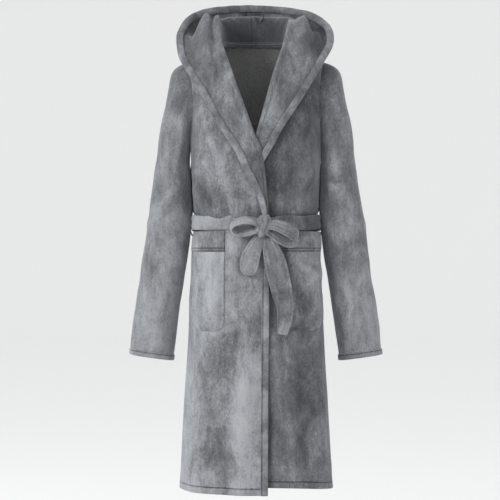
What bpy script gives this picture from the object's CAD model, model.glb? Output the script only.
import collections
import functools
import math

import bmesh
import bpy
from mathutils import Matrix, Vector, noise


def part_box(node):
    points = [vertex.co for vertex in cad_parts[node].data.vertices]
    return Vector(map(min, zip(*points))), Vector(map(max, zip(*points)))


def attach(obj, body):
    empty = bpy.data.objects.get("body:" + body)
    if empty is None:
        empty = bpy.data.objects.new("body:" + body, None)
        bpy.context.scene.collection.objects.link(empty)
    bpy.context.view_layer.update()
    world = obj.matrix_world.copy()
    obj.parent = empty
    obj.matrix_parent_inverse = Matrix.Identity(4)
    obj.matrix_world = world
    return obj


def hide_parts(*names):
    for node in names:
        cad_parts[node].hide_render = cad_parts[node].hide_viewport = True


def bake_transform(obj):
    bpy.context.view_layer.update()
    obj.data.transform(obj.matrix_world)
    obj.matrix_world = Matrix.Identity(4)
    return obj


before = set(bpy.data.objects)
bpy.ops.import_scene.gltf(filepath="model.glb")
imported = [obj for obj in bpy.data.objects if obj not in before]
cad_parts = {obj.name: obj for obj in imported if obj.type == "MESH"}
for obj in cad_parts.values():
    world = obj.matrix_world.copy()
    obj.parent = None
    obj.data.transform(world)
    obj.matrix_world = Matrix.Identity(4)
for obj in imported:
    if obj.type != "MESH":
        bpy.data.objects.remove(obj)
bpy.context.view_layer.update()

bl_info = {
    "name": "Hooded Bathrobe",
    "version": (1, 0, 0),
    "blender": (4, 5, 0),
    "location": "3D View > Sidebar > Bathrobe",
    "description": "Makes a hooded wrap bathrobe of brushed fleece, piece by piece",
    "category": "Object",
}

BELT_LOW, BELT_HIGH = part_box("belt_band")
KNOT_LOW, KNOT_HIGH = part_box("belt_knot")
BELT_LEVEL = -(BELT_LOW[2] + BELT_HIGH[2]) / 2
HEM_LEVEL = -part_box("back_panel")[0][2]
LOOP_LOW, LOOP_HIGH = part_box("hanging_loop")
RIGHT, LEFT = -1, 1
BODY = "robe_body"


# ---------------------------------------------------------------- sizes and colours
class RobeSizes(bpy.types.PropertyGroup):
    cloth: bpy.props.FloatProperty(
        name="Cloth", description="Thickness of a fleece panel with its pile",
        default=0.0042, unit="LENGTH")
    band_width: bpy.props.FloatProperty(
        name="Band width", description="Width of the folded band on the hood and front edges",
        default=0.0175, unit="LENGTH")
    band_thickness: bpy.props.FloatProperty(
        name="Band thickness", description="Thickness of the folded band",
        default=0.0085, unit="LENGTH")
    camera_distance: bpy.props.FloatProperty(
        name="Camera distance", description="Distance from the camera to the middle of the robe",
        default=6.0, unit="LENGTH")


class RobeColours(bpy.types.PropertyGroup):
    dark: bpy.props.FloatVectorProperty(
        name="Nap laid down", description="Fleece where the nap lies away from the eye",
        default=(0.056, 0.058, 0.062), subtype="COLOR")
    middle: bpy.props.FloatVectorProperty(
        name="Fleece", description="The fleece's usual colour",
        default=(0.138, 0.142, 0.150), subtype="COLOR")
    light: bpy.props.FloatVectorProperty(
        name="Nap raised", description="Fleece where the nap is brushed towards the eye",
        default=(0.300, 0.308, 0.325), subtype="COLOR")
    reverse: bpy.props.FloatVectorProperty(
        name="Reverse", description="The nubby reverse side of the cloth",
        default=(0.240, 0.240, 0.232), subtype="COLOR")
    thread: bpy.props.FloatVectorProperty(
        name="Thread", description="Topstitching thread",
        default=(0.30, 0.31, 0.33), subtype="COLOR")
    floor: bpy.props.FloatVectorProperty(
        name="Floor", description="Studio floor and wall",
        default=(0.93, 0.93, 0.92), subtype="COLOR")


def sizes():
    return bpy.context.scene.robe_sizes


def colours():
    return bpy.context.scene.robe_colours


# ---------------------------------------------------------------- shape of the robe's body
# Level below the neck seam, half width, half depth, from the neck to the hem.
BODY_LINE = [
    (0.000, 0.083, 0.070), (0.010, 0.110, 0.076), (0.024, 0.137, 0.083), (0.045, 0.157, 0.089),
    (0.075, 0.1640, 0.095), (0.140, 0.1625, 0.101), (0.220, 0.159, 0.106), (0.320, 0.154, 0.107),
    (0.420, 0.148, 0.103), (0.450, 0.148, 0.103), (0.530, 0.153, 0.107), (0.620, 0.159, 0.112),
    (0.730, 0.164, 0.117), (0.870, 0.173, 0.123), (1.020, 0.181, 0.129), (1.066, 0.1845, 0.131),
]
ROUNDNESS = 0.80  # under 1 squares the body's section a little


def through(rows, t):
    """A smooth line through rows of numbers, with t running from 0 to the last row."""
    t = min(max(t, 0.0), len(rows) - 1.000001)
    i = int(t)
    f = t - i
    a, b, c, d = (rows[min(max(k, 0), len(rows) - 1)] for k in (i - 1, i, i + 1, i + 2))
    return [
        0.5 * (2 * q + (r - p) * f + (2 * p - 5 * q + 4 * r - s) * f * f
               + (3 * q - p - 3 * r + s) * f ** 3)
        for p, q, r, s in zip(a, b, c, d)
    ]


def part_way(rows, share):
    """The smooth line through rows at a share of the way from the first to the last."""
    return through(rows, share * (len(rows) - 1))


def through_at(rows, keys, value):
    """The smooth line through rows where their keys, which only rise, reach a value."""
    for i, (a, b) in enumerate(zip(keys, keys[1:])):
        if value <= b or i == len(keys) - 2:
            return through(rows, i + (value - a) / (b - a))


def line_lengths(rows):
    """Length along a line of rows up to each row."""
    lengths = [0.0]
    for a, b in zip(rows, rows[1:]):
        lengths.append(lengths[-1] + math.dist(a[:2], b[:2]))
    return lengths


BODY_LENGTHS = line_lengths(BODY_LINE)


def body_at_length(length):
    """Level, half width and half depth at a length down the body's side line."""
    return through_at(BODY_LINE, BODY_LENGTHS, length)


@functools.lru_cache(maxsize=None)
def length_at_level(level):
    """Length down the side line at which the body reaches a level."""
    low, high = 0.0, BODY_LENGTHS[-1]
    for _ in range(30):
        middle = (low + high) / 2
        if body_at_length(middle)[0] < level:
            low = middle
        else:
            high = middle
    return low


@functools.lru_cache(maxsize=None)
def girth_at(level):
    """Half width and half depth of the body at a level."""
    return body_at_length(length_at_level(level))[1:]


def section_point(half_width, half_depth, angle):
    """Point of a body section; angle is 0 at the right seam, 90 degrees in front, 180 left."""
    c, s = math.cos(angle), math.sin(angle)
    x = -half_width * math.copysign(abs(c) ** ROUNDNESS, c)
    return x, -half_depth * math.copysign(abs(s) ** ROUNDNESS, s)


def angle_at_x(half_width, x):
    """Angle at which a front section reaches x."""
    share = min(max(-x / half_width, -1.0), 1.0)
    return math.acos(math.copysign(abs(share) ** (1 / ROUNDNESS), share))


def front_depth(x, level):
    """How far in front of the middle the body's front stands at x and a level."""
    half_width, half_depth = girth_at(max(level, 0.0))
    return -section_point(half_width, half_depth, angle_at_x(half_width, x))[1]


# ---------------------------------------------------------------- folds
def smooth_step(a, b, x):
    t = min(max((x - a) / (b - a), 0.0), 1.0)
    return t * t * (3 - 2 * t)


def bell(x, middle, width):
    """1 at the middle, falling smoothly to 0 at about two widths on both sides."""
    return math.exp(-((x - middle) / width) ** 2)


def ridge(x, z, start, end, width, height):
    """Height of a soft fold that runs from start to end, seen from the front."""
    ax, az = start
    bx, bz = end
    dx, dz = bx - ax, bz - az
    along = ((x - ax) * dx + (z - az) * dz) / (dx * dx + dz * dz)
    t = min(max(along, 0.0), 1.0)
    away = math.hypot(x - ax - t * dx, z - az - t * dz)
    fade = smooth_step(-0.25, 0.15, along) * (1 - smooth_step(0.85, 1.25, along))
    return height * fade * bell(away, 0.0, width)


def folds_at(x, z, folds):
    return sum(ridge(x, z, *fold) for fold in folds)


def rumple(point, scale, height, seed=0.0):
    """Soft uneven relief of hanging cloth."""
    p = Vector(point) * scale + Vector((seed, 1.7 * seed, -0.6 * seed))
    return height * (noise.noise(p) + 0.45 * noise.noise(p * 2.3))


def nap(point, height, seed=0.0):
    """Fine unevenness of the brushed pile, long in the way that it was brushed."""
    x, y, z = point
    p = Vector((x * 46 + seed, y * 46, z * 22))
    return height * (noise.noise(p) + 0.5 * noise.noise(p * 2.1))


# ---------------------------------------------------------------- mesh helpers
def cloth_grid(name, across, along, place, closed=False, shade=None):
    """A sheet of across by along cells, laid by place(u, v) with u and v from 0 to 1.
    closed joins u = 0 to u = 1, as in a tube. shade(u, v) raises or lays the nap there."""
    shape = bmesh.new()
    bmesh.ops.create_grid(shape, x_segments=across, y_segments=along, size=0.5)
    uv = shape.loops.layers.uv.new("cloth")
    nap_layer = shape.verts.layers.float.new("nap")
    for face in shape.faces:
        for loop in face.loops:
            loop[uv].uv = (loop.vert.co.x + 0.5, loop.vert.co.y + 0.5)
    for vert in shape.verts:
        u, v = vert.co.x + 0.5, vert.co.y + 0.5
        u = 0.0 if closed and u > 0.9999 else u
        vert.co = place(u, v)
        vert[nap_layer] = shade(u, v) if shade else 0.0
    if closed:
        bmesh.ops.remove_doubles(shape, verts=shape.verts, dist=1e-6)
    bmesh.ops.recalc_face_normals(shape, faces=shape.faces)
    return finish_mesh(name, shape)


def finish_mesh(name, shape):
    mesh = bpy.data.meshes.new(name)
    shape.to_mesh(mesh)
    shape.free()
    for face in mesh.polygons:
        face.use_smooth = True
    piece = bpy.data.objects.new(name, mesh)
    bpy.context.scene.collection.objects.link(piece)
    return piece


def face_outwards(piece, outwards):
    """Turn the faces of an open sheet so that they look the way outwards(centre) points."""
    shape = bmesh.new()
    shape.from_mesh(piece.data)
    votes = sum(f.normal.dot(outwards(f.calc_center_median())) for f in shape.faces)
    if votes < 0:
        bmesh.ops.reverse_faces(shape, faces=shape.faces)
    shape.to_mesh(piece.data)
    shape.free()


def thicken(piece, thickness, offset=-1.0, inner_slot=False):
    """Give an open sheet its thickness and round it."""
    wall = piece.modifiers.new("wall", "SOLIDIFY")
    wall.thickness = thickness
    wall.offset = offset
    wall.use_even_offset = False
    if inner_slot:
        wall.material_offset = 1
    soften(piece)


def soften(piece):
    smooth = piece.modifiers.new("smooth", "SUBSURF")
    smooth.levels = smooth.render_levels = 1


NAP_LAID, NAP_RAISED = -0.16, 0.10  # the most that relief lays or raises the nap


def note_relief(piece, gain=11.0, rounds=14):
    """Raise the nap on the folds and lay it in the hollows between them."""
    shape = bmesh.new()
    shape.from_mesh(piece.data)
    layer = shape.verts.layers.float.get("nap") or shape.verts.layers.float.new("nap")
    before = [vert.co.copy() for vert in shape.verts]
    normals = [vert.normal.copy() for vert in shape.verts]
    for _ in range(rounds):
        bmesh.ops.smooth_vert(shape, verts=shape.verts, factor=0.5,
                              use_axis_x=True, use_axis_y=True, use_axis_z=True)
    stands = [(a - vert.co).dot(normal) for a, vert, normal in zip(before, shape.verts, normals)]
    usual = sorted(stands)[len(stands) // 2]
    for vert, place, height in zip(shape.verts, before, stands):
        vert.co = place
        vert[layer] += min(max((height - usual) * gain, NAP_LAID), NAP_RAISED)
    shape.to_mesh(piece.data)
    shape.free()


def away_from_axis(centre):
    return Vector((centre.x, centre.y, 0.0))


def dress(piece, *materials):
    piece.data.materials.clear()
    for material in materials:
        piece.data.materials.append(material)


def oval_tube(name, path, sides, cells, half_wide, half_thick, wide_at, pleat=None):
    """A flat padded strip swept along path(t); wide_at(t) is the direction of its width.
    half_wide and half_thick are functions of t, and so is pleat, the height of lengthwise
    pleats. The ends are closed."""
    @functools.lru_cache(maxsize=None)
    def frame_at(v):
        here = path(v)
        along = (path(min(v + 0.004, 1.0)) - path(max(v - 0.004, 0.0))).normalized()
        wide = wide_at(v)
        wide = (wide - along * wide.dot(along)).normalized()
        pleats = pleat(v) if pleat else 0.0
        return here, wide, along.cross(wide), half_wide(v), half_thick(v), pleats

    def ring_point(u, v):
        here, wide, up, half_w, half_t, pleats = frame_at(v)
        c, s = math.cos(2 * math.pi * u), math.sin(2 * math.pi * u)
        flat = 0.62  # squares the strip's edge a little
        seam = 1.0 - 0.34 * bell(abs(c), 0.60, 0.13)
        x = math.copysign(abs(c) ** flat, c) * half_w
        y = math.copysign(abs(s) ** flat, s) * half_t * seam
        y += pleats * math.cos(3.5 * math.pi * x / half_w) * abs(s)
        return here + wide * x + up * y
    piece = cloth_grid(name, sides, cells, ring_point, closed=True)
    close_ends(piece)
    return piece


def close_ends(piece):
    """Close the open rings of a tube and turn its faces outwards."""
    shape = bmesh.new()
    shape.from_mesh(piece.data)
    rims = [edge for edge in shape.edges if edge.is_boundary]
    bmesh.ops.holes_fill(shape, edges=rims, sides=0)
    ngons = [face for face in shape.faces if len(face.verts) > 4]
    bmesh.ops.poke(shape, faces=ngons)
    bmesh.ops.recalc_face_normals(shape, faces=shape.faces)
    shape.to_mesh(piece.data)
    shape.free()
    for face in piece.data.polygons:
        face.use_smooth = True


# ---------------------------------------------------------------- materials
class Nodes:
    """Short names for building a node material."""

    def __init__(self, name):
        self.material = bpy.data.materials.new(name)
        self.material.use_nodes = True
        self.tree = self.material.node_tree
        self.shader = self.tree.nodes["Principled BSDF"]
        self.coords = self.tree.nodes.new("ShaderNodeTexCoord").outputs["Object"]

    def link(self, output, node_input):
        self.tree.links.new(output, node_input)

    def stretched(self, scale):
        node = self.tree.nodes.new("ShaderNodeMapping")
        node.inputs["Scale"].default_value = scale
        self.link(self.coords, node.inputs["Vector"])
        return node.outputs["Vector"]

    def noise(self, vector, scale, detail=3.0, roughness=0.55, distortion=0.0):
        node = self.tree.nodes.new("ShaderNodeTexNoise")
        node.inputs["Scale"].default_value = scale
        node.inputs["Detail"].default_value = detail
        node.inputs["Roughness"].default_value = roughness
        node.inputs["Distortion"].default_value = distortion
        self.link(vector, node.inputs["Vector"])
        return node.outputs["Fac"]

    def cells(self, vector, scale):
        node = self.tree.nodes.new("ShaderNodeTexVoronoi")
        node.inputs["Scale"].default_value = scale
        self.link(vector, node.inputs["Vector"])
        return node.outputs["Distance"]

    def math(self, operation, a, b):
        node = self.tree.nodes.new("ShaderNodeMath")
        node.operation = operation
        for value, socket in ((a, node.inputs[0]), (b, node.inputs[1])):
            if isinstance(value, (int, float)):
                socket.default_value = value
            else:
                self.link(value, socket)
        return node.outputs["Value"]

    def ramp(self, value, *stops):
        node = self.tree.nodes.new("ShaderNodeValToRGB")
        ramp = node.color_ramp
        while len(ramp.elements) < len(stops):
            ramp.elements.new(0.5)
        for element, (place, colour) in zip(ramp.elements, stops):
            element.position = place
            element.color = (*colour, 1.0)
        self.link(value, node.inputs["Fac"])
        return node.outputs["Color"]

    def bump(self, height, distance, strength=1.0, under=None):
        node = self.tree.nodes.new("ShaderNodeBump")
        node.inputs["Distance"].default_value = distance
        node.inputs["Strength"].default_value = strength
        self.link(height, node.inputs["Height"])
        if under is not None:
            self.link(under, node.inputs["Normal"])
        return node.outputs["Normal"]


def mixed(a, b, share):
    return tuple(p + (q - p) * share for p, q in zip(a, b))


def seam_mask(n, lines, half_width):
    """1 on the stitched lines of a piece; each line is an axis of its own map and a place."""
    split = n.tree.nodes.new("ShaderNodeSeparateXYZ")
    n.link(n.tree.nodes.new("ShaderNodeUVMap").outputs["UV"], split.inputs["Vector"])
    mask = 0.0
    for axis, place in lines:
        away = n.math("ABSOLUTE", n.math("SUBTRACT", split.outputs[axis], place), 0.0)
        on_line = n.math("SUBTRACT", 1.0, n.math("DIVIDE", away, half_width))
        mask = n.math("MAXIMUM", mask, on_line)
    return mask


def fleece(name, shift=0.0, grain=(1.0, 1.0, 0.62), contrast=1.0, lean=0.0, drop=0.0,
           leftward=0.0, seams=(), seam_width=0.006):
    """Brushed fleece: patches where the nap lies one way or the other, streaks, fuzz, sheen.
    lean raises the nap everywhere, drop raises it by so much for each metre down and leftward
    for each metre to the left."""
    c = colours()
    dark = mixed(c.middle, c.dark, contrast)
    light = mixed(c.middle, c.light, contrast)
    n = Nodes(name)
    moved = n.tree.nodes.new("ShaderNodeMapping")
    moved.inputs["Location"].default_value = (shift, 2.3 * shift, -1.1 * shift)
    moved.inputs["Scale"].default_value = grain
    n.link(n.coords, moved.inputs["Vector"])
    where = moved.outputs["Vector"]
    patches = n.noise(where, 8.0, detail=4.0, roughness=0.60, distortion=0.55)
    swirls = n.noise(where, 24.0, detail=4.0, roughness=0.62, distortion=0.9)
    streaks = n.noise(n.stretched((105.0, 105.0, 19.0)), 1.0, detail=3.0, roughness=0.6)
    tufts = n.noise(where, 250.0, detail=2.0, roughness=0.7)
    nap_way = n.math("ADD", n.math("MULTIPLY", patches, 0.48), n.math("MULTIPLY", swirls, 0.28))
    nap_way = n.math("ADD", nap_way, n.math("MULTIPLY", streaks, 0.12))
    nap_way = n.math("ADD", nap_way, n.math("MULTIPLY", tufts, 0.22))
    folds = n.tree.nodes.new("ShaderNodeAttribute")
    folds.attribute_name = "nap"
    tone = n.math("ADD", n.math("ADD", nap_way, lean - 0.05), folds.outputs["Fac"])
    split = n.tree.nodes.new("ShaderNodeSeparateXYZ")
    n.link(n.coords, split.inputs["Vector"])
    if drop:
        tone = n.math("SUBTRACT", tone, n.math("MULTIPLY", split.outputs["Z"], drop))
    if leftward:
        tone = n.math("ADD", tone, n.math("MULTIPLY", split.outputs["X"], leftward))
    relief = nap_way
    if seams:
        mask = seam_mask(n, seams, seam_width)
        tone = n.math("SUBTRACT", tone, n.math("MULTIPLY", mask, 0.16))
        relief = n.math("SUBTRACT", nap_way, n.math("MULTIPLY", mask, 0.35))
    colour = n.ramp(tone, (0.24, mixed(dark, (0, 0, 0), 0.30)), (0.375, dark), (0.49, c.middle),
                    (0.62, light), (0.86, mixed(light, (1, 1, 1), 0.22)))
    n.link(colour, n.shader.inputs["Base Color"])
    n.shader.inputs["Roughness"].default_value = 0.93
    n.shader.inputs["Specular IOR Level"].default_value = 0.15
    n.shader.inputs["Sheen Weight"].default_value = 0.45
    n.shader.inputs["Sheen Roughness"].default_value = 0.40
    n.shader.inputs["Sheen Tint"].default_value = (0.84, 0.87, 0.93, 1.0)
    soft = n.bump(relief, 0.0085, 0.6)
    fuzz = n.noise(n.coords, 1500.0, detail=2.0, roughness=0.7)
    fibre = n.noise(n.stretched((900.0, 900.0, 260.0)), 1.0, detail=2.0, roughness=0.7)
    fine = n.bump(n.math("ADD", fuzz, fibre), 0.0011, 0.5, under=soft)
    n.link(fine, n.shader.inputs["Normal"])
    return n.material


def nubby_reverse(name):
    """The dull, pilled reverse side of the cloth."""
    c = colours()
    n = Nodes(name)
    pills = n.cells(n.coords, 330.0)
    cloud = n.noise(n.coords, 26.0, detail=4.0, roughness=0.6)
    tone = n.math("ADD", n.math("MULTIPLY", pills, 0.55), n.math("MULTIPLY", cloud, 0.45))
    colour = n.ramp(
        tone, (0.25, mixed(c.reverse, (0, 0, 0), 0.42)), (0.42, c.reverse),
        (0.60, mixed(c.reverse, c.light, 0.38)))
    n.link(colour, n.shader.inputs["Base Color"])
    n.shader.inputs["Roughness"].default_value = 0.96
    n.shader.inputs["Specular IOR Level"].default_value = 0.12
    n.shader.inputs["Sheen Weight"].default_value = 0.25
    n.shader.inputs["Sheen Roughness"].default_value = 0.5
    n.link(n.bump(n.math("SUBTRACT", 1.0, pills), 0.0022, 0.8), n.shader.inputs["Normal"])
    return n.material


def woven_tape(name):
    c = colours()
    n = Nodes(name)
    ribs = n.noise(n.stretched((260.0, 260.0, 1500.0)), 1.0, detail=1.0)
    colour = n.ramp(ribs, (0.35, mixed(c.dark, (0, 0, 0), 0.5)), (0.65, c.dark))
    n.link(colour, n.shader.inputs["Base Color"])
    n.shader.inputs["Roughness"].default_value = 0.8
    n.link(n.bump(ribs, 0.0006, 0.8), n.shader.inputs["Normal"])
    return n.material


def thread_finish(name):
    c = colours()
    n = Nodes(name)
    twist = n.noise(n.coords, 900.0, detail=1.0)
    colour = n.ramp(twist, (0.3, mixed(c.thread, c.middle, 0.5)), (0.7, c.thread))
    n.link(colour, n.shader.inputs["Base Color"])
    n.shader.inputs["Roughness"].default_value = 0.7
    return n.material


HEM_FOLD = 0.024  # from the hem up to its stitches
HEM_STITCHES = dict(seams=[(1, 1 - HEM_FOLD / BODY_LENGTHS[-1])], seam_width=0.0022)
BAND = dict(shift=8.3, grain=(1.6, 1.6, 1.6), contrast=0.8)
CUFF = dict(contrast=0.8, seams=[(1, 0.22)], seam_width=0.10)
BELT = dict(shift=11.9, grain=(1.5, 1.5, 1.0), contrast=0.9, lean=0.035)
POCKET_TOP_BAND = dict(seams=[(1, 0.80), (1, 0.93)], seam_width=0.035)
FLEECES = {
    "right_panel": dict(name="fleece_outer_front", lean=-0.004, drop=0.072, **HEM_STITCHES),
    "left_panel": dict(name="fleece_under_front", shift=1.7, contrast=0.9, lean=-0.060,
                       drop=0.016, **HEM_STITCHES),
    "back_panel": dict(name="fleece_back", shift=4.2, drop=0.03, **HEM_STITCHES),
    "right_sleeve": dict(name="fleece_right_sleeve", shift=2.2, contrast=0.80, lean=-0.040,
                         drop=0.22),
    "left_sleeve": dict(name="fleece_left_sleeve", shift=6.4, contrast=0.85, lean=-0.074,
                        drop=0.185),
    "hood": dict(name="fleece_hood", shift=5.7, contrast=0.95, lean=-0.026, drop=0.05,
                 leftward=0.15, seams=[(0, 0.5235)], seam_width=0.0026),
    "rim": dict(name="fleece_rim", lean=0.018, drop=0.10, **BAND),
    "right_band": dict(name="fleece_outer_band", lean=0.055, seams=[(0, 0.20)], seam_width=0.14,
                       **BAND),
    "left_band": dict(name="fleece_under_band", lean=-0.04, **BAND),
    "right_cuff": dict(name="fleece_right_cuff", shift=9.1, lean=0.09, **CUFF),
    "left_cuff": dict(name="fleece_left_cuff", shift=9.9, lean=0.04, **CUFF),
    "belt": dict(name="fleece_belt", leftward=-1.0, **BELT),
    "knot": dict(name="fleece_knot", **BELT),
    "right_pocket": dict(name="fleece_right_pocket", shift=14.2, lean=0.075),
    "left_pocket": dict(name="fleece_left_pocket", shift=15.2, lean=0.020),
    "right_pocket_band": dict(name="fleece_right_pocket_band", shift=16.2, lean=0.065,
                              **POCKET_TOP_BAND),
    "left_pocket_band": dict(name="fleece_left_pocket_band", shift=17.2, lean=-0.010,
                             **POCKET_TOP_BAND),
    "neck_tape": dict(name="fleece_neck_tape", shift=7.1, contrast=0.7, lean=-0.13),
}
OTHER_FINISHES = {
    "reverse": (nubby_reverse, "fleece_reverse"),
    "tape": (woven_tape, "seam_tape"),
    "thread": (thread_finish, "thread"),
}
MATERIALS = {}


def cloth_material(kind):
    """One material of each kind, made when it is first asked for."""
    if kind not in MATERIALS:
        if kind in FLEECES:
            MATERIALS[kind] = fleece(**FLEECES[kind])
        else:
            maker, name = OTHER_FINISHES[kind]
            MATERIALS[kind] = maker(name)
    return MATERIALS[kind]


# ---------------------------------------------------------------- edges and layers
WRAP = 0.010  # the outer front lies this far in front of the under front
ARMHOLE_MIDDLE, ARMHOLE_HALF, ARMHOLE_DEPTH = 0.139, 0.090, 0.046
SEAM_LAP = 0.014  # the fronts reach this far round past the side seams, in radians
# The outer front's free edge: level and x. It is the fold of the lapel, then the free edge.
OUTER_EDGE = [
    (0.000, -0.0800), (0.060, -0.0610), (0.115, -0.0415), (0.175, -0.0200), (0.226, -0.0020),
    (0.250, 0.0110), (0.305, 0.0210), (0.367, 0.0262), (0.425, 0.0290), (0.600, 0.0300),
    (0.850, 0.0280), (1.100, 0.0270),
]
UNDER_EDGE = [
    (0.000, 0.0650), (0.060, 0.0450), (0.115, 0.0290), (0.175, 0.0125), (0.226, -0.0020),
    (0.300, -0.0300), (0.420, -0.0450), (0.700, -0.0450), (1.100, -0.0450),
]


def edge_x(rows, level):
    """x of a front's edge at a level, smooth through its rows."""
    return through_at(rows, [row[0] for row in rows], level)[1]


def armhole_angle(level, half_depth):
    """How far round from the side seam the armhole's edge is at a level."""
    share = (level - ARMHOLE_MIDDLE) / ARMHOLE_HALF
    if abs(share) >= 1:
        return 0.0
    reach = ARMHOLE_DEPTH * math.sqrt(1 - share * share)
    return math.asin(min((reach / half_depth) ** (1 / ROUNDNESS), 1.0))


# Folds as (start, end, width, height), with x and z seen from the front.
RIGHT_FOLDS = [
    ((-0.125, -0.290), (-0.078, -0.420), 0.015, 0.0105),
    ((-0.070, -0.330), (-0.040, -0.425), 0.012, 0.0085),
    ((-0.145, -0.350), (-0.095, -0.412), 0.011, 0.0085),
    ((-0.108, -0.235), (-0.055, -0.345), 0.014, 0.0055),
    ((-0.120, -0.180), (-0.140, -0.330), 0.020, 0.0058),
    ((-0.050, -0.470), (-0.110, -0.760), 0.022, 0.0072),
    ((-0.005, -0.480), (-0.030, -0.900), 0.026, 0.0080),
    ((-0.120, -0.640), (-0.145, -1.060), 0.024, 0.0087),
    ((-0.070, -0.760), (-0.080, -1.080), 0.024, -0.0072),
    ((-0.030, -0.800), (-0.035, -1.090), 0.020, 0.0065),
    ((-0.140, -0.470), (-0.155, -0.640), 0.014, 0.0058),
]
LEFT_FOLDS = [
    ((0.130, -0.290), (0.085, -0.430), 0.016, 0.0087),
    ((0.070, -0.300), (0.050, -0.430), 0.015, 0.0065),
    ((0.105, -0.170), (0.128, -0.330), 0.020, 0.0065),
    ((0.045, -0.700), (0.060, -1.060), 0.024, 0.0087),
    ((0.100, -0.720), (0.115, -1.060), 0.022, -0.0072),
    ((0.140, -0.640), (0.158, -1.060), 0.022, 0.0087),
    ((0.080, -0.760), (0.088, -1.060), 0.018, 0.0058),
]
BACK_FOLDS = [
    ((-0.090, -0.260), (-0.045, -0.430), 0.020, 0.0087),
    ((0.085, -0.250), (0.050, -0.430), 0.020, 0.0087),
    ((0.000, -0.300), (0.000, -0.430), 0.022, 0.0072),
    ((-0.060, -0.470), (-0.090, -1.050), 0.030, 0.0116),
    ((0.010, -0.470), (0.015, -1.050), 0.032, 0.0116),
    ((0.075, -0.470), (0.105, -1.050), 0.030, 0.0116),
    ((-0.120, -0.480), (-0.145, -1.040), 0.024, 0.0087),
]


Front = collections.namedtuple("Front", "side name edge lift folds seed corner_drop")
FRONTS = (
    Front(RIGHT, "right", OUTER_EDGE, WRAP, RIGHT_FOLDS, 1.3, 0.009),
    Front(LEFT, "left", UNDER_EDGE, 0.0, LEFT_FOLDS, 2.9, -0.009),
)
CORNER_FROM = 0.5  # below this level the wrapped corner hangs more and more out of line


def belted(level):
    """How far the belt pulls the cloth in, and the fullness just above and below it."""
    above = 0.0048 * bell(level, BELT_LEVEL - 0.048, 0.026)
    below = 0.0022 * bell(level, BELT_LEVEL + 0.045, 0.024)
    return above + below - 0.0030 * bell(level, BELT_LEVEL, 0.020)


def panel_point(length, angle, lift, folds, seed, front=True):
    """A point of a body panel: its folds and unevenness stand out from the body form."""
    level, half_width, half_depth = body_at_length(length)
    x, y = section_point(half_width, half_depth, angle)
    out = Vector((x / half_width ** 2, y / half_depth ** 2, 0.0)).normalized()
    slope = smooth_step(0.075, 0.0, level)
    out = (out * (1 - slope) + Vector((0, 0, 1)) * slope).normalized()
    calm = smooth_step(0.02, 0.10, level)
    swell = folds_at(x, -level, folds) + belted(level)
    swell += rumple((x, y * 0.6, -level * 0.55), 9.0, 0.0042, seed)
    swell += rumple((x, y, -level * 0.8), 24.0, 0.0013, seed)
    swell += nap((x, y, -level), 0.00055, seed)
    swell -= 0.0018 * bell(level, HEM_LEVEL - HEM_FOLD, 0.0045)
    round_off = abs(math.sin(angle))
    seam = round_off if level > ARMHOLE_MIDDLE + ARMHOLE_HALF else 1.0
    swell *= calm * smooth_step(0.0, 0.35, seam)
    swell -= (0.0010 if front else 0.0022) * bell(seam, 0.0, 0.045)
    if not front:
        gathered = smooth_step(0.25, 0.33, level) * (1 - smooth_step(0.398, 0.412, level))
        swell += 0.0125 * gathered * bell(round_off, 0.27, 0.13)
    wrap = lift * smooth_step(0.22, 0.80, round_off)
    return Vector((x, y, -level)) + out * swell + Vector((0, -wrap if front else 0.0, 0))


def front_point(front, level, x):
    """A point of a front's cloth at a level and x."""
    length = length_at_level(level)
    half_width = body_at_length(length)[1]
    return panel_point(length, angle_at_x(half_width, x), front.lift, front.folds, front.seed)


def corner_drop(front, level):
    """How much lower a front's free edge hangs at a level."""
    return front.corner_drop * smooth_step(CORNER_FROM, BODY_LINE[-1][0], level)


def front_panel(name, front):
    """A whole front, from its side seam and armhole to its free edge and hem."""
    end = length_at_level(HEM_LEVEL - 0.001)

    def place(u, v):
        length = end * v
        level, half_width, half_depth = body_at_length(length)
        edge = angle_at_x(half_width, front.side * -1 * edge_x(front.edge, level))
        begin = armhole_angle(level, half_depth) - SEAM_LAP
        angle = begin + (edge - begin) * u
        if front.side == LEFT:
            angle = math.pi - angle
        point = panel_point(length, angle, front.lift, front.folds, front.seed)
        point.z -= corner_drop(front, level) * smooth_step(0.0, 1.0, u)
        return point

    piece = cloth_grid(name, 34, 128, place)
    face_outwards(piece, away_from_axis)
    note_relief(piece)
    thicken(piece, sizes().cloth, inner_slot=True)
    dress(piece, cloth_material(f"{front.name}_panel"), cloth_material("reverse"))
    return piece


# ---------------------------------------------------------------- operators: body of the robe
class ROBE_OT_back(bpy.types.Operator):
    """Make the back, from seam to seam and from the neck to the hem"""
    bl_idname = "robe.back"
    bl_label = "Back"

    def execute(self, context):
        end = length_at_level(HEM_LEVEL - 0.001)

        def place(u, v):
            length = end * v
            level, _, half_depth = body_at_length(length)
            begin = armhole_angle(level, half_depth)
            angle = math.pi + begin + (math.pi - 2 * begin) * u
            return panel_point(length, angle, 0.0, BACK_FOLDS, 4.4, front=False)

        piece = cloth_grid("back", 60, 128, place)
        face_outwards(piece, away_from_axis)
        note_relief(piece)
        thicken(piece, sizes().cloth, inner_slot=True)
        dress(piece, cloth_material("back_panel"), cloth_material("reverse"))
        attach(piece, BODY)
        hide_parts("back_panel")
        return {"FINISHED"}


class ROBE_OT_fronts(bpy.types.Operator):
    """Make the outer right front and the under left front"""
    bl_idname = "robe.fronts"
    bl_label = "Fronts"

    def execute(self, context):
        for front, name, width, area in zip(
                FRONTS, ("outer_front", "under_front"), (0.30, 0.32), (0.25, 0.27)):
            piece = front_panel(name, front)
            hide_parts(f"{front.name}_front", f"{front.name}_front_flap")
            blend_flap(piece)
        return {"FINISHED"}


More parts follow.
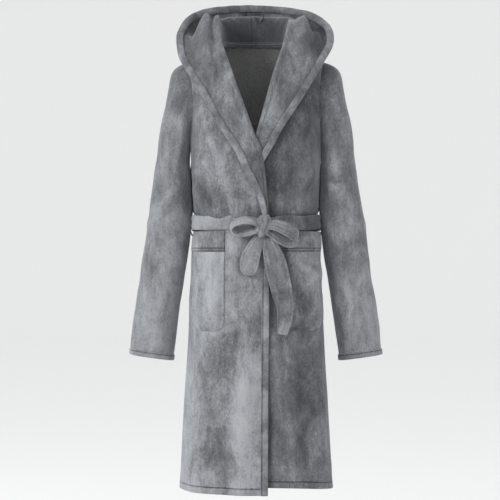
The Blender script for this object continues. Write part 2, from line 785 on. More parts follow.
def blend_flap(piece):
    """The lower front turns with its flap little by little."""
    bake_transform(piece)


# Rings of a right sleeve: middle x and z, turn from the armhole's upright plane in degrees,
# half width in that plane, half depth.
SLEEVE_RINGS = [
    (-0.1600, -0.139, 0, ARMHOLE_HALF + 0.004, ARMHOLE_DEPTH + 0.003),
    (-0.1708, -0.141, 8.6, 0.0890, 0.051),
    (-0.1788, -0.150, 16.2, 0.0815, 0.055),
    (-0.1820, -0.170, 24.8, 0.0655, 0.058),
    (-0.1865, -0.1955, 37.4, 0.0515, 0.059),
    (-0.1945, -0.2485, 70.2, 0.0400, 0.057),
    (-0.1993, -0.330, 82, 0.0460, 0.055),
    (-0.2046, -0.410, 83, 0.0525, 0.054),
    (-0.2145, -0.490, 83, 0.0530, 0.053),
    (-0.2295, -0.600, 82.5, 0.0530, 0.052),
    (-0.2410, -0.680, 82, 0.0530, 0.050),
    (-0.2505, -0.7545, 82, 0.0515, 0.049),
]
SLEEVE_LENGTHS = line_lengths(SLEEVE_RINGS)
SEAM_TUCK = 0.0030  # the sleeve starts this far inside the body's outer face
CUFF_START, CUFF_LENGTH = 0.966, 0.036  # shares of the sleeve's length
CUFF_PROUD, CUFF_CROWN, CUFF_THICKNESS = 0.0016, 0.0012, 0.0085


@functools.lru_cache(maxsize=None)
def sleeve_ring(t):
    """The sleeve's ring a share t of the way down its middle line."""
    return through_at(SLEEVE_RINGS, SLEEVE_LENGTHS, t * SLEEVE_LENGTHS[-1])


SLEEVE_FOLDS = [
    ((-0.172, -0.190), (-0.196, -0.330), 0.010, 0.0055),
    ((-0.200, -0.120), (-0.222, -0.260), 0.014, 0.0045),
    ((-0.180, -0.340), (-0.236, -0.400), 0.012, 0.0050),
    ((-0.262, -0.430), (-0.195, -0.480), 0.012, 0.0045),
    ((-0.186, -0.520), (-0.250, -0.575), 0.013, 0.0040),
    ((-0.215, -0.560), (-0.245, -0.740), 0.016, 0.0045),
]


def sleeve_point(u, t, lift, side, seed):
    """A point of a sleeve: u goes round it from its inner side, t is 0 at the armhole, 1 at
    the cuff."""
    x, z, turn, half, depth = sleeve_ring(t)
    angle = 2 * math.pi * u
    turn = math.radians(turn)
    top = Vector((-math.sin(turn), 0, math.cos(turn)))
    c, s = math.cos(angle), math.sin(angle)
    flat = 1.0 - 0.10 * smooth_step(0.0, 0.2, t)
    c, s = (math.copysign(abs(k) ** flat, k) for k in (c, s))
    out = (top * -c * depth + Vector((0, -s, 0)) * half).normalized()
    point = Vector((x, 0, z)) - top * c * half + Vector((0, -s * depth, 0))
    seated = 1 - smooth_step(0.0, 0.10, t)
    if seated > 0:
        half_width, half_depth = girth_at(round(-point.z, 4))
        on_body = math.asin(min((abs(point.y) / half_depth) ** (1 / ROUNDNESS), 1.0))
        body_x, _ = section_point(half_width, half_depth, on_body)
        point.x += (body_x + SEAM_TUCK - SLEEVE_RINGS[0][0]) * seated
    calm = smooth_step(0.0, 0.10, t) * (1 - 0.6 * smooth_step(0.93, 1.0, t))
    swell = folds_at(point.x, point.z, SLEEVE_FOLDS) * (0.6 + 0.4 * s)
    swell += rumple((point.x, point.y, point.z * 0.7), 13.0, 0.0034, seed)
    swell += nap(point, 0.0005, seed)
    point += out * (lift + swell * calm)
    return Vector((point.x * -side, point.y, point.z))


def blend_along(piece, reach):
    """Bend a piece from the body to a moved body by reach(u, v), which runs from 0 to 1 over
    its own surface, because its seam lies beside the part that moves and not in line with it."""
    uv = piece.data.uv_layers["cloth"].uv
    spots = {corner.vertex_index: uv[corner.index].vector for corner in piece.data.loops}
    places = [vert.co.copy() for vert in piece.data.vertices]
    for vert in piece.data.vertices:
        vert.co = (reach(*spots[vert.index]), 0, 0)
    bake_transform(piece)
    for vert, place in zip(piece.data.vertices, places):
        vert.co = place


def sleeve_reach(u, v):
    """How far a sleeve has left its armhole: sooner on top than under the arm."""
    on_top = (1 - math.cos(2 * math.pi * u)) / 2
    return (v * (1 + 1.6 * on_top) - 0.01) / 0.20


class ROBE_OT_sleeves(bpy.types.Operator):
    """Make both sleeves with their turned and stitched cuffs"""
    bl_idname = "robe.sleeves"
    bl_label = "Sleeves"

    def execute(self, context):
        for side, name in ((RIGHT, "right"), (LEFT, "left")):
            seed = 6.0 + side
            body = f"{name}_sleeve"
            piece = cloth_grid(
                f"sleeve_{name}", 44, 96,
                lambda u, v: sleeve_point(u, v, 0.0, side, seed), closed=True)
            face_outwards(piece, lambda c: Vector((
                c.x - 0.21 * side - 0.06 * side * (-0.3 - c.z), c.y, 0)))
            note_relief(piece, gain=14.0)
            thicken(piece, sizes().cloth, inner_slot=True)
            dress(piece, cloth_material(f"{name}_sleeve"), cloth_material("reverse"))
            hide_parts(f"{name}_sleeve")
            blend_along(piece, sleeve_reach)
            cuff = cloth_grid(
                f"cuff_{name}", 44, 6,
                lambda u, v: sleeve_point(
                    u, CUFF_START + CUFF_LENGTH * v,
                    CUFF_PROUD + CUFF_CROWN * math.sin(math.pi * v), side, seed),
                closed=True)
            face_outwards(cuff, lambda c: Vector((c.x - 0.25 * side, c.y, 0)))
            thicken(cuff, CUFF_THICKNESS, inner_slot=True)
            dress(cuff, cloth_material(f"{name}_cuff"), cloth_material("reverse"))
            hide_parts(f"{name}_cuff")
            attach(cuff, body)
        return {"FINISHED"}


# ---------------------------------------------------------------- hood and lapels
# From the tip of the right lapel, round the back, to the tip of the left lapel.
# Fold or neck edge x, y, z; rim x, y, z; roll height; bag depth; height off the front. A y of
# None lies on the front.
HOOD_SECTIONS = [
    (0.0300, None, -0.425, 0.0200, None, -0.425, 0.000, 0.000, 0.016),
    (0.0262, None, -0.367, 0.0050, None, -0.372, 0.000, 0.000, 0.016),
    (0.0210, None, -0.305, -0.0250, None, -0.312, 0.000, 0.000, 0.016),
    (0.0110, None, -0.250, -0.0500, None, -0.262, 0.000, 0.000, 0.016),
    (-0.0020, None, -0.226, -0.0740, None, -0.222, 0.000, 0.000, 0.017),
    (-0.0200, None, -0.175, -0.0990, None, -0.183, 0.000, 0.000, 0.018),
    (-0.0415, None, -0.115, -0.1270, None, -0.130, 0.000, 0.000, 0.020),
    (-0.0610, None, -0.060, -0.1560, -0.064, -0.082, 0.004, 0.000, 0.022),
    (-0.0775, -0.060, -0.012, -0.1810, -0.030, -0.040, 0.030, 0.000, 0.0),
    (-0.0810, -0.022, 0.000, -0.1895, 0.004, 0.000, 0.064, 0.000, 0.0),
    (-0.0780, 0.020, -0.004, -0.1880, 0.040, 0.030, 0.064, 0.004, 0.0),
    (-0.0640, 0.048, -0.005, -0.1700, 0.080, 0.065, 0.055, 0.050, 0.0),
    (-0.0440, 0.061, -0.006, -0.1310, 0.118, 0.090, 0.053, 0.170, 0.0),
    (-0.0220, 0.068, -0.006, -0.0660, 0.140, 0.102, 0.053, 0.250, 0.0),
    (0.0000, 0.070, -0.006, 0.0000, 0.147, 0.104, 0.053, 0.274, 0.0),
    (0.0220, 0.068, -0.006, 0.0580, 0.142, 0.0985, 0.053, 0.250, 0.0),
    (0.0430, 0.061, -0.006, 0.1100, 0.124, 0.092, 0.053, 0.170, 0.0),
    (0.0590, 0.048, -0.005, 0.1480, 0.092, 0.0755, 0.056, 0.050, 0.0),
    (0.0680, 0.024, -0.004, 0.1720, 0.056, 0.0535, 0.054, 0.004, 0.0),
    (0.0690, -0.010, 0.000, 0.1845, 0.012, 0.024, 0.052, 0.000, 0.0),
    (0.0630, -0.054, -0.012, 0.1820, -0.028, -0.009, 0.036, 0.000, 0.0),
    (0.0455, None, -0.060, 0.1600, -0.066, -0.047, 0.010, 0.000, 0.016),
    (0.0290, None, -0.115, 0.1290, None, -0.100, 0.000, 0.000, 0.012),
    (0.0125, None, -0.175, 0.0960, None, -0.152, 0.000, 0.000, 0.010),
    (-0.0020, None, -0.226, 0.0640, None, -0.200, 0.000, 0.000, 0.0085),
    (-0.0120, None, -0.262, 0.0340, None, -0.256, 0.000, 0.000, 0.0070),
    (-0.0220, None, -0.300, 0.0080, None, -0.300, 0.000, 0.000, 0.0060),
]
# Across the hood at the back: share of the way, y share, roll share, bag share.
HOOD_PROFILE = [
    (0.00, 0.00, 0.0, 0.00), (0.09, 0.04, 0.62, 0.00), (0.17, 0.16, 1.00, 0.00),
    (0.25, 0.42, 0.90, 0.02), (0.34, 0.60, 0.30, 0.22), (0.44, 0.66, 0.0, 0.62),
    (0.53, 0.72, 0.0, 0.92), (0.60, 0.90, 0.0, 1.00), (0.67, 1.10, 0.0, 0.92),
    (0.78, 1.24, 0.0, 0.56), (0.90, 1.16, 0.0, 0.20), (1.00, 1.00, 0.0, 0.00),
]


HOOD_FOLDS = [
    ((-0.120, -0.010), (-0.100, -0.090), 0.009, 0.0060),
    ((-0.092, -0.010), (-0.080, -0.080), 0.008, 0.0055),
    ((-0.106, -0.010), (-0.092, -0.060), 0.006, -0.0050),
    ((-0.150, -0.060), (-0.075, -0.150), 0.010, 0.0035),
    ((-0.070, -0.130), (-0.010, -0.225), 0.010, 0.0030),
    ((0.084, -0.020), (0.108, -0.078), 0.008, 0.0050),
    ((0.074, -0.030), (0.096, -0.074), 0.006, -0.0050),
    ((0.130, -0.040), (0.085, -0.130), 0.010, 0.0035),
    ((0.060, -0.080), (0.040, -0.170), 0.009, 0.0035),
]


@functools.lru_cache(maxsize=None)
def hood_section(u):
    """The hood section at u, with the front's depth where the cloth lies on it."""
    rows = []
    for ix, iy, iz, rx, ry, rz, roll, bag, lift in HOOD_SECTIONS:
        iy = -front_depth(ix, -iz) - lift if iy is None else iy
        ry = -front_depth(rx, -rz) - lift * 1.15 if ry is None else ry
        rows.append((ix, iy, iz, rx, ry, rz, roll, bag))
    return part_way(rows, u)


def hood_profile(v):
    """y share, roll share and bag share at v, a share of the way across the hood."""
    return through_at(HOOD_PROFILE, [row[0] for row in HOOD_PROFILE], v)[1:]


def side_rise(v, x):
    """Share of the roll's height across the hood's sides: two upright folds on the right side,
    one broad one on the left."""
    wall = smooth_step(0.0, 0.08, v)
    right = wall * (1 - smooth_step(0.36, 0.72, v)) - 0.26 * bell(v, 0.225, 0.042)
    left = wall * (1 - smooth_step(0.40, 0.64, v)) - 0.12 * bell(v, 0.20, 0.06)
    left -= 0.22 * bell(v, 0.80, 0.09)
    return left + (right - left) * smooth_step(0.02, -0.02, x)


def hood_point(u, v):
    """A point of the hood and lapels, from the neck seam or fold (v 0) to the rim (v 1)."""
    ix, iy, iz, rx, ry, rz, roll, bag = hood_section(u)
    deep, rise, drop = hood_profile(v)
    back = smooth_step(0.0, 0.062, iy)
    y_share = v + (deep - v) * back
    beside = side_rise(v, ix)
    rise = beside + (rise - beside) * back
    x = ix + (rx - ix) * v
    y = iy + (ry - iy) * y_share
    z = iz + (rz - iz) * v + roll * rise - bag * drop
    on_front = 1.0 - smooth_step(-0.10, -0.01, iy)
    point = Vector((x, y, z))
    crown, fold = math.sin(math.pi * v), math.sin(math.pi * min(v * 6, 1.0))
    point.y -= on_front * (0.006 * crown + 0.004 * fold)
    swell = rumple((x * 1.1, y * 0.7, z * 0.7), 15.0, 0.0034, 9.1) * smooth_step(0, 0.15, v)
    swell += folds_at(x, z, HOOD_FOLDS) * on_front
    swell += nap(point, 0.0006, 5.0)
    point.y -= swell * (0.4 + 0.6 * on_front)
    point.z += swell * (1 - on_front) * 0.8
    if point.z < -0.006 and iy < 0.0:
        level = -point.z
        if abs(point.x) < girth_at(round(level, 4))[0] - 0.004:
            point.y = min(point.y, -front_depth(point.x, level) - 0.0045)
    return point


def hood_shade(u, v):
    """The nap lies down on the wall inside the neck and in the hollows beside the folds."""
    ix, iy = hood_section(u)[:2]
    behind = smooth_step(-0.03, 0.04, iy)
    wall = behind * smooth_step(0.075, 0.060, abs(ix + 0.004)) * (1 - smooth_step(0.10, 0.24, v))
    side = smooth_step(-0.02, 0.01, iy)
    left = smooth_step(-0.115, -0.03, iy) * smooth_step(0.02, 0.04, ix) * bell(v, 0.70, 0.21)
    right = side * smooth_step(-0.03, -0.06, ix) * bell(v, 0.82, 0.10)
    return -0.16 * wall - 0.24 * left - 0.09 * right


def hood_reach(u, v):
    """How far the hood has left the neck seam and the lapels, which stay with the body."""
    behind = smooth_step(-0.035, 0.058, hood_section(min(max(u, 0.0), 1.0))[1])
    return behind * smooth_step(0.0, 0.28, v)


class ROBE_OT_hood(bpy.types.Operator):
    """Make the hood, laid back, with the lapels that its front edges run into"""
    bl_idname = "robe.hood"
    bl_label = "Hood and lapels"

    def execute(self, context):
        piece = cloth_grid("hood_and_lapels", 190, 60, hood_point, shade=hood_shade)
        face_outwards(piece, lambda c: Vector((0, -1, 0.0)) if c.z < 0 and c.y < 0 else
                      Vector((0, 0, 0)))
        note_relief(piece, gain=9.0, rounds=10)
        thicken(piece, sizes().cloth)
        dress(piece, cloth_material("hood"))
        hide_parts("hood_right_half", "hood_left_half", "right_lapel", "left_lapel")
        blend_along(piece, hood_reach)
        self.rim()
        return {"FINISHED"}

    def rim(self):
        """The folded, stitched band along the hood's and the lapels' outer edge."""
        width = sizes().band_width

        def middle(t):
            edge, inside = hood_point(t, 1.0), hood_point(t, 0.94)
            return edge + (inside - edge).normalized() * width * 0.42 + out_at(t) * 0.0015

        def inwards(t):
            return (hood_point(t, 0.94) - hood_point(t, 1.0)).normalized()

        def out_at(t):
            along = hood_point(min(t + 0.004, 1), 1.0) - hood_point(max(t - 0.004, 0), 1.0)
            return inwards(t).cross(along).normalized()

        thick = sizes().band_thickness
        piece = oval_tube(
            "hood_rim", middle, 14, 320,
            lambda t: width / 2 * smooth_step(-0.01, 0.02, t) * smooth_step(1.01, 0.98, t),
            lambda t: thick / 2 * (1 + 0.10 * math.sin(97 * t) * math.sin(41 * t)), inwards)
        soften(piece)
        dress(piece, cloth_material("rim"))
        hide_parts("hood_band")
        blend_along(piece, lambda u, v: hood_reach(v, 1.0))


# ---------------------------------------------------------------- front edge bands
class ROBE_OT_front_bands(bpy.types.Operator):
    """Make the stitched bands down the free edges of both fronts"""
    bl_idname = "robe.front_bands"
    bl_label = "Front edge bands"

    def execute(self, context):
        for front, name in zip(FRONTS, ("outer_edge_band", "under_edge_band")):
            piece = self.band(name, front)
            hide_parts(f"{front.name}_edge_band")
            blend_flap(piece)
        return {"FINISHED"}

    def band(self, name, front):
        side, width = front.side, sizes().band_width
        top, bottom = 0.43, HEM_LEVEL - 0.0005

        def place(u, v):
            level = top + (bottom - top) * v
            x = edge_x(front.edge, level) + side * width * (1 - u) - side * 0.0012 * u
            point = front_point(front, level, x)
            point.z -= corner_drop(front, level)
            point.y -= 0.0018 * math.sin(math.pi * min(max(u, 0.0), 1.0)) ** 0.5
            return point

        piece = cloth_grid(name, 6, 90, place)
        face_outwards(piece, lambda c: Vector((0, -1, 0)))
        thicken(piece, 0.0072, offset=-0.72)
        dress(piece, cloth_material(f"{front.name}_band"))
        return piece


# ---------------------------------------------------------------- pockets
POCKET_FOLDS = [
    ((0.075, -0.520), (0.150, -0.560), 0.009, 0.0040),
    ((0.090, -0.600), (0.150, -0.545), 0.008, 0.0035),
    ((0.085, -0.655), (0.148, -0.640), 0.010, 0.0045),
    ((-0.100, -0.500), (-0.104, -0.640), 0.010, 0.0030),
    ((-0.132, -0.640), (-0.085, -0.665), 0.009, 0.0035),
]


POCKET_TOP, POCKET_BOTTOM, POCKET_CORNER = 0.452, 0.688, 0.030
POCKET_SEAM, POCKET_SEAM_WIDTH = 0.0055, 0.0030  # the stitches' place from the edge
POCKET_BAND_FROM, POCKET_BAND_TO = 0.205, 0.215  # the pocket starts behind the band's lower edge


class ROBE_OT_pockets(bpy.types.Operator):
    """Make the patch pockets and their stitched top bands"""
    bl_idname = "robe.pockets"
    bl_label = "Pockets"

    def execute(self, context):
        for front, inner, outer in zip(FRONTS, (0.072, 0.053), (0.150, 0.158)):
            self.pocket(front, inner, outer)
        return {"FINISHED"}

    def pocket(self, front, inner, outer):
        name, height = front.name, POCKET_BOTTOM - POCKET_TOP
        full = 0.0065 if front.side == RIGHT else 0.0125

        def spot(u, v, proud):
            level = POCKET_TOP + height * v
            low = max(0.0, (level - (POCKET_BOTTOM - POCKET_CORNER)) / POCKET_CORNER)
            cut = POCKET_CORNER * (1 - math.sqrt(max(0.0, 1 - low * low)))
            across = inner + cut * 0.5 + (outer - inner - cut * 1.5) * u
            point = front_point(front, level, front.side * across)
            edge = min(u, 1 - u) * (outer - inner)
            foot = (1 - v) * height
            puff = smooth_step(0.0, 0.022, edge) * smooth_step(0.0, 0.022, foot)
            out = Vector((point.x * 0.35, point.y, 0)).normalized()
            groove = sum(bell(away, POCKET_SEAM, POCKET_SEAM_WIDTH) for away in (edge, foot))
            swell = 0.0034 + proud + full * puff - 0.0016 * groove
            swell += folds_at(point.x, point.z, POCKET_FOLDS)
            swell += rumple(point, 22.0, 0.0024, front.seed + 3) * puff
            return point + out * swell

        piece = cloth_grid(
            f"pocket_{name}", 20, 34,
            lambda u, v: spot(u, POCKET_BAND_FROM + (1 - POCKET_BAND_FROM) * v, 0.0))
        band = cloth_grid(
            f"pocket_band_{name}", 20, 12,
            lambda u, v: spot(u, POCKET_BAND_TO * v, 0.0016 * math.sin(math.pi * v)))
        for made, node, thick, slot, flat in (
            (piece, f"{name}_pocket", 0.0042, "robe_cloth", (outer - inner, 0.19)),
            (band, f"{name}_pocket_band", 0.006, "band_cloth", (outer - inner, 0.062)),
        ):
            face_outwards(made, away_from_axis)
            note_relief(made, rounds=8)
            thicken(made, thick)
            dress(made, cloth_material(node))
            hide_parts(node)
            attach(made, BODY)


# ---------------------------------------------------------------- belt
KNOT = (Vector(KNOT_LOW) + Vector(KNOT_HIGH)) / 2 - Vector((0, 0, 0.009))


WRINKLE_SEED = 1



class ROBE_OT_belt(bpy.types.Operator):
    """Make the belt round the waist, its keepers, the knot, the bow and the hanging ends"""
    bl_idname = "robe.belt"
    bl_label = "Belt"

    def execute(self, context):
        self.waist()
        self.keepers()
        self.knot()
        self.bows()
        self.tails()
        return {"FINISHED"}

    def waist(self):
        half_width, half_depth = girth_at(BELT_LEVEL)

        def place(u, v):
            angle = 2 * math.pi * u
            front = max(0.0, math.sin(angle))
            x, y = section_point(half_width + 0.0075, half_depth + 0.0065 + 0.0105 * front, angle)
            z = BELT_HIGH[2] - (BELT_HIGH[2] - BELT_LOW[2]) * v
            z += 0.0015 * math.sin(5 * angle) + rumple((x, y, 0), 14, 0.0022, 7)
            pull = bell(x, KNOT.x, 0.035) * front
            z += (-BELT_LEVEL - 0.006 - z) * 0.35 * pull
            out = Vector((x, y, 0)).normalized()
            crease = 0.0022 * math.sin(math.pi * v) - 0.0016 * bell(v, 0.46, 0.1)
            crease += rumple((x, y, z * 2.5), 26, 0.0024, 3)
            return Vector((x, y, z)) + out * crease

        piece = cloth_grid("belt", 120, 10, place, closed=True)
        face_outwards(piece, away_from_axis)
        thicken(piece, 0.0055)
        self.done(piece, "belt_band", BODY, (0.86, 0.036), "stretched")

    def done(self, piece, node, body, flat, held, slot="belt_cloth", kind="belt"):
        """Give a belt piece its material and say what it is."""
        dress(piece, cloth_material(kind))
        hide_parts(node)
        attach(piece, body)

    def keepers(self):
        for side, name in ((RIGHT, "right"), (LEFT, "left")):
            half_width, _ = girth_at(BELT_LEVEL)
            reach = half_width + 0.0135
            foot = half_width + 0.001
            high, low = -0.398, -0.462
            points = [
                (foot, high), (foot + 0.004, high + 0.0005), (reach - 0.002, high - 0.012),
                (reach, (high + low) / 2), (reach - 0.003, low + 0.011), (foot + 0.004, low),
                (foot, low + 0.001),
            ]

            def path(t, points=points, side=side):
                x, z = part_way(points, t)
                return Vector((x * side, -0.004, z))

            piece = oval_tube(f"belt_keeper_{name}", path, 10, 40, lambda t: 0.0048,
                              lambda t: 0.0021, lambda t: Vector((0, 1, 0)))
            soften(piece)
            self.done(piece, f"{name}_belt_keeper", BODY, (0.0105, 0.085), "stretched",
                      slot="seam_tape")

    def knot(self):
        shape = bmesh.new()
        bmesh.ops.create_uvsphere(shape, u_segments=48, v_segments=32, radius=1.0)
        for vert in shape.verts:
            p = vert.co.copy()
            squared = [math.copysign(abs(k) ** 0.82, k) for k in p]
            x, y, z = squared[0] * 0.0185, squared[1] * 0.0165, squared[2] * 0.0285
            x *= 1.0 - 0.16 * (p.z * p.z) + 0.06 * p.z
            tilt = 0.16
            crease = bell(p.x * 0.9 - p.z * 0.35, -0.28, 0.16)
            crease += 0.8 * bell(p.x * 0.9 - p.z * 0.30, 0.38, 0.13)
            crease += 0.7 * bell(p.x * 1.1 + p.z * 0.55, 0.05, 0.09)
            out = 1.0 - 0.085 * crease + 0.05 * noise.noise(p * 3.0)
            x, z = x * out + z * tilt, z * out
            vert.co = Vector((KNOT.x + x, KNOT.y - 0.001 + y * out, KNOT.z + 0.001 + z))
        piece = finish_mesh("knot", shape)
        note_relief(piece, gain=40.0, rounds=6)
        self.done(piece, "belt_knot", BODY, None, None, kind="knot")

    def bows(self):
        # Points of each loop of the bow from the knot round and back, as x, y, z from the knot,
        # then the width of the cloth there.
        right = [
            (-0.008, 0.000, 0.003, 0.010), (-0.028, -0.006, 0.011, 0.013),
            (-0.052, -0.009, 0.013, 0.015), (-0.072, -0.006, 0.006, 0.017),
            (-0.075, 0.001, -0.004, 0.018), (-0.062, 0.003, -0.013, 0.018),
            (-0.038, 0.001, -0.014, 0.015), (-0.010, 0.003, -0.005, 0.012),
        ]
        left = [
            (0.010, 0.000, 0.004, 0.012), (0.030, -0.006, 0.003, 0.016),
            (0.055, -0.009, -0.006, 0.019), (0.074, -0.006, -0.020, 0.019),
            (0.076, 0.001, -0.032, 0.018), (0.058, 0.004, -0.036, 0.017),
            (0.034, 0.003, -0.024, 0.016), (0.010, 0.003, -0.008, 0.012),
        ]
        for points, turn, name in (
            (right, (-0.10, 1.0, 0.55), "right"), (left, (0.30, 0.75, 1.0), "left"),
        ):

            def path(t, points=points):
                x, y, z, _ = part_way(points, t)
                return KNOT + Vector((x, y - 0.006, z))

            def half(t, points=points):
                return part_way(points, t)[3]

            piece = oval_tube(
                f"bow_{name}", path, 36, 90, half,
                lambda t: 0.0034 + 0.0006 * math.sin(23 * t),
                lambda t, turn=turn: Vector(turn).normalized(),
                lambda t: 0.0004 + 0.0013 * (1 - math.sin(math.pi * t)))
            self.wrinkle(piece, 60.0, 0.0020)
            note_relief(piece, gain=30.0, rounds=6)
            soften(piece)
            self.done(piece, f"belt_{name}_bow", f"{name}_bow", (0.036, 0.19), "folded",
                      kind="knot")

    def wrinkle(self, piece, scale, height):
        """Crush a belt piece a little."""
        noise.seed_set(WRINKLE_SEED)  # noise_vector is otherwise seeded from the clock
        for vert in piece.data.vertices:
            p = Vector(vert.co)
            push = noise.noise_vector(p * scale * 0.55) * height
            vert.co = p + Vector((push.x * 0.5, push.y, push.z * 0.5))

    def tails(self):
        # From the knot down: x, y, z from the knot, then half the width.
        right = [
            (-0.004, 0.004, -0.010, 0.009), (-0.012, 0.001, -0.030, 0.014),
            (-0.022, 0.000, -0.052, 0.0185), (-0.030, -0.001, -0.074, 0.0215),
            (-0.034, -0.001, -0.094, 0.0215), (-0.0355, 0.000, -0.108, 0.0165),
            (-0.036, 0.001, -0.1135, 0.008),
        ]
        left = [
            (0.006, 0.006, -0.012, 0.010), (0.013, 0.002, -0.036, 0.017),
            (0.023, -0.001, -0.068, 0.024), (0.034, -0.003, -0.110, 0.0265),
            (0.043, -0.003, -0.150, 0.0250), (0.051, -0.002, -0.188, 0.0215),
            (0.050, 0.000, -0.218, 0.0185), (0.0465, 0.001, -0.240, 0.0140),
            (0.0450, 0.002, -0.253, 0.0110),
        ]
        for side, points, name, flat in (
            (RIGHT, right, "right", (0.036, 0.115)), (LEFT, left, "left", (0.043, 0.26)),
        ):

            def path(t, points=points):
                x, y, z, _ = part_way(points, t)
                return KNOT + Vector((x, y - 0.001, z))

            def half(t, points=points):
                return part_way(points, t)[3]

            def wide(t, side=side):
                return Vector((1.0, -0.25 * side * (1 - t), 0.10)).normalized()

            piece = oval_tube(
                f"tail_{name}", path, 36, 80 if side == RIGHT else 130, half,
                lambda t: 0.0040, wide, lambda t: 0.0014 * (1 - t) ** 2)
            self.wrinkle(piece, 42.0, 0.0030)
            note_relief(piece, gain=26.0, rounds=6)
            soften(piece)
            self.done(piece, f"belt_{name}_tail", f"{name}_tail", flat, "hung", kind="knot")


# ---------------------------------------------------------------- small pieces inside the neck
class ROBE_OT_neck(bpy.types.Operator):
    """Make the neck tape, the seam stitches and the hanging loop"""
    bl_idname = "robe.neck"
    bl_label = "Neck tape and hanging loop"

    def execute(self, context):
        self.tape()
        self.seams()
        self.loop()
        return {"FINISHED"}

    def tape(self):
        def place(u, v):
            angle = math.pi * 1.03 + math.pi * 0.94 * u
            x, y = section_point(0.0785, 0.0660, angle)
            return Vector((x, y, 0.007 - 0.015 * v))

        piece = cloth_grid("neck_tape_strip", 60, 4, place)
        face_outwards(piece, lambda c: Vector((-c.x, -c.y, 0)))
        thicken(piece, 0.002)
        dress(piece, cloth_material("neck_tape"))
        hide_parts("neck_tape")
        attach(piece, BODY)

    def stitch_row(self, name, path, count, length=0.0052):
        """A row of stitches: short rounded bars along a path."""
        shape = bmesh.new()
        for i in range(count):
            t = (i + 0.5) / count
            here = path(t)
            along = (path(min(t + 0.01, 1.0)) - path(max(t - 0.01, 0.0))).normalized()
            turn = along.to_track_quat("X", "Z").to_matrix().to_4x4()
            bmesh.ops.create_icosphere(
                shape, subdivisions=1, radius=1.0,
                matrix=Matrix.Translation(here) @ turn
                @ Matrix.Diagonal((length / 2, 0.0007, 0.0007, 1.0)))
        return finish_mesh(name, shape)

    def seams(self):
        def neck(t):
            angle = math.pi * 1.10 + math.pi * 0.80 * t
            x, y = section_point(0.0762, 0.0632, angle)
            return Vector((x, y, 0.0015))

        piece = self.stitch_row("neck_stitches", neck, 34)
        dress(piece, cloth_material("thread"))
        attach(piece, BODY)

    def loop(self):
        middle = (Vector(LOOP_LOW) + Vector(LOOP_HIGH)) / 2
        half = (LOOP_HIGH[0] - LOOP_LOW[0]) / 2
        points = [
            (-0.30, -1.0), (-0.34, -0.5), (-0.75, 0.2), (-0.95, 0.75), (-0.6, 0.98), (0.0, 0.93),
            (0.6, 0.98), (0.95, 0.75), (0.75, 0.2), (0.34, -0.5), (0.30, -1.0),
        ]

        def path(t):
            x, z = part_way(points, t)
            return Vector((middle.x + x * half, middle.y, middle.z + z * half))

        piece = oval_tube("hanging_loop_tape", path, 10, 60, lambda t: 0.0030,
                          lambda t: 0.0011, lambda t: Vector((0, 1, 0)))
        soften(piece)
        dress(piece, cloth_material("tape"))
        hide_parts("hanging_loop")
        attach(piece, "hanging_loop")


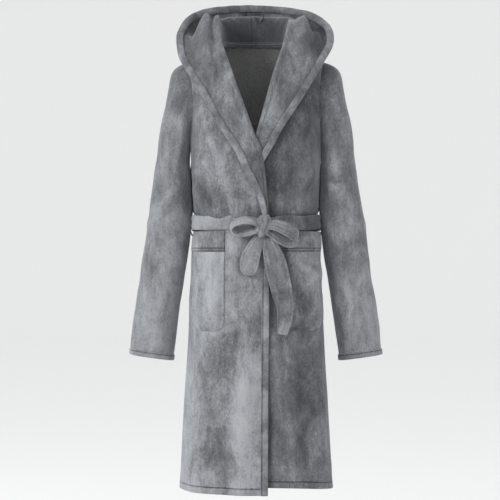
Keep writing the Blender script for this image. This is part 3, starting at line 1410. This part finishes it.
# ---------------------------------------------------------------- stage
class ROBE_OT_stage(bpy.types.Operator):
    """Make the pale floor and wall, the studio lights and the camera"""
    bl_idname = "robe.stage"
    bl_label = "Stage"

    def execute(self, context):
        self.backdrop()
        self.lights()
        self.camera(context)
        return {"FINISHED"}

    def backdrop(self):
        """A round floor that curves up into a low wall on every side."""
        floor_z, reach, bend, top = -1.24, 18.0, 4.0, 3.6
        profile = [(0.0, floor_z), (4.0, floor_z), (reach - bend, floor_z)]
        for i in range(1, 13):
            turn = i / 12 * math.pi / 2
            profile.append((reach - bend + bend * math.sin(turn),
                            floor_z + bend * (1 - math.cos(turn))))
        profile.append((reach, top))
        shape = bmesh.new()
        verts = [shape.verts.new((r, 0.0, z)) for r, z in profile]
        edges = [shape.edges.new(pair) for pair in zip(verts, verts[1:])]
        bmesh.ops.spin(shape, geom=verts + edges, cent=(0, 0, 0), axis=(0, 0, 1),
                       angle=2 * math.pi, steps=72, use_merge=True)
        bmesh.ops.remove_doubles(shape, verts=shape.verts, dist=1e-5)
        bmesh.ops.recalc_face_normals(shape, faces=shape.faces)
        floor = min(shape.faces, key=lambda face: face.calc_center_median().length)
        if floor.normal.z < 0:
            bmesh.ops.reverse_faces(shape, faces=shape.faces)
        piece = finish_mesh("studio_sweep", shape)
        n = Nodes("studio_paper")
        tone = n.noise(n.coords, 3.0, detail=2.0)
        base = colours().floor
        n.link(n.ramp(tone, (0.3, mixed(base, (1, 1, 1), -0.02)), (0.7, base)),
               n.shader.inputs["Base Color"])
        n.shader.inputs["Roughness"].default_value = 0.9
        dress(piece, n.material)

    def lights(self):
        for name, place, aim, size, power, colour in (
            ("key", (-3.6, -3.2, 1.7), (0, 0, -0.50), 1.5, 150.0, (0.97, 0.985, 1.0)),
            ("fill", (3.4, -3.8, 0.0), (0, 0, -0.6), 2.4, 12.0, (1.0, 0.985, 0.96)),
        ):
            lamp = bpy.data.lights.new(name, "AREA")
            lamp.energy = power
            lamp.color = colour
            lamp.size = size
            holder = bpy.data.objects.new(name, lamp)
            bpy.context.scene.collection.objects.link(holder)
            holder.location = place
            way = Vector(aim) - Vector(place)
            holder.rotation_euler = way.to_track_quat("-Z", "Y").to_euler()
        world = bpy.data.worlds.new("studio")
        world.use_nodes = True
        background = world.node_tree.nodes["Background"]
        background.inputs["Color"].default_value = (0.98, 0.99, 1.0, 1.0)
        background.inputs["Strength"].default_value = 0.88
        bpy.context.scene.world = world

    def camera(self, context):
        view = bpy.data.cameras.new("view")
        view.sensor_width = 36.0
        shown = 1.2  # metres across the picture at the middle of the robe
        distance = sizes().camera_distance
        view.lens = view.sensor_width * distance / shown
        holder = bpy.data.objects.new("view", view)
        bpy.context.scene.collection.objects.link(holder)
        holder.location = (-0.0144, -distance, -0.497)
        holder.rotation_euler = (math.pi / 2, 0.0, 0.0)
        context.scene.camera = holder
        context.scene.view_settings.view_transform = "Standard"


class ROBE_PT_panel(bpy.types.Panel):
    """Lists the pieces of the robe"""
    bl_idname = "ROBE_PT_panel"
    bl_label = "Bathrobe"
    bl_space_type = "VIEW_3D"
    bl_region_type = "UI"
    bl_category = "Bathrobe"

    def draw(self, context):
        for group in (context.scene.robe_sizes, context.scene.robe_colours):
            for key in group.bl_rna.properties.keys():
                if key not in {"rna_type", "name"}:
                    self.layout.prop(group, key)
        for operator in OPERATORS:
            self.layout.operator(operator.bl_idname)


OPERATORS = (
    ROBE_OT_back, ROBE_OT_fronts, ROBE_OT_sleeves, ROBE_OT_hood, ROBE_OT_front_bands,
    ROBE_OT_pockets, ROBE_OT_belt, ROBE_OT_neck, ROBE_OT_stage,
)
CLASSES = (RobeSizes, RobeColours, *OPERATORS, ROBE_PT_panel)


def register():
    for each in CLASSES:
        bpy.utils.register_class(each)
    bpy.types.Scene.robe_sizes = bpy.props.PointerProperty(type=RobeSizes)
    bpy.types.Scene.robe_colours = bpy.props.PointerProperty(type=RobeColours)


def unregister():
    del bpy.types.Scene.robe_colours
    del bpy.types.Scene.robe_sizes
    for each in reversed(CLASSES):
        bpy.utils.unregister_class(each)


def main():
    register()
    for operator in OPERATORS:
        group, name = operator.bl_idname.split(".")
        getattr(getattr(bpy.ops, group), name)()


if __name__ == "__main__":
    main()
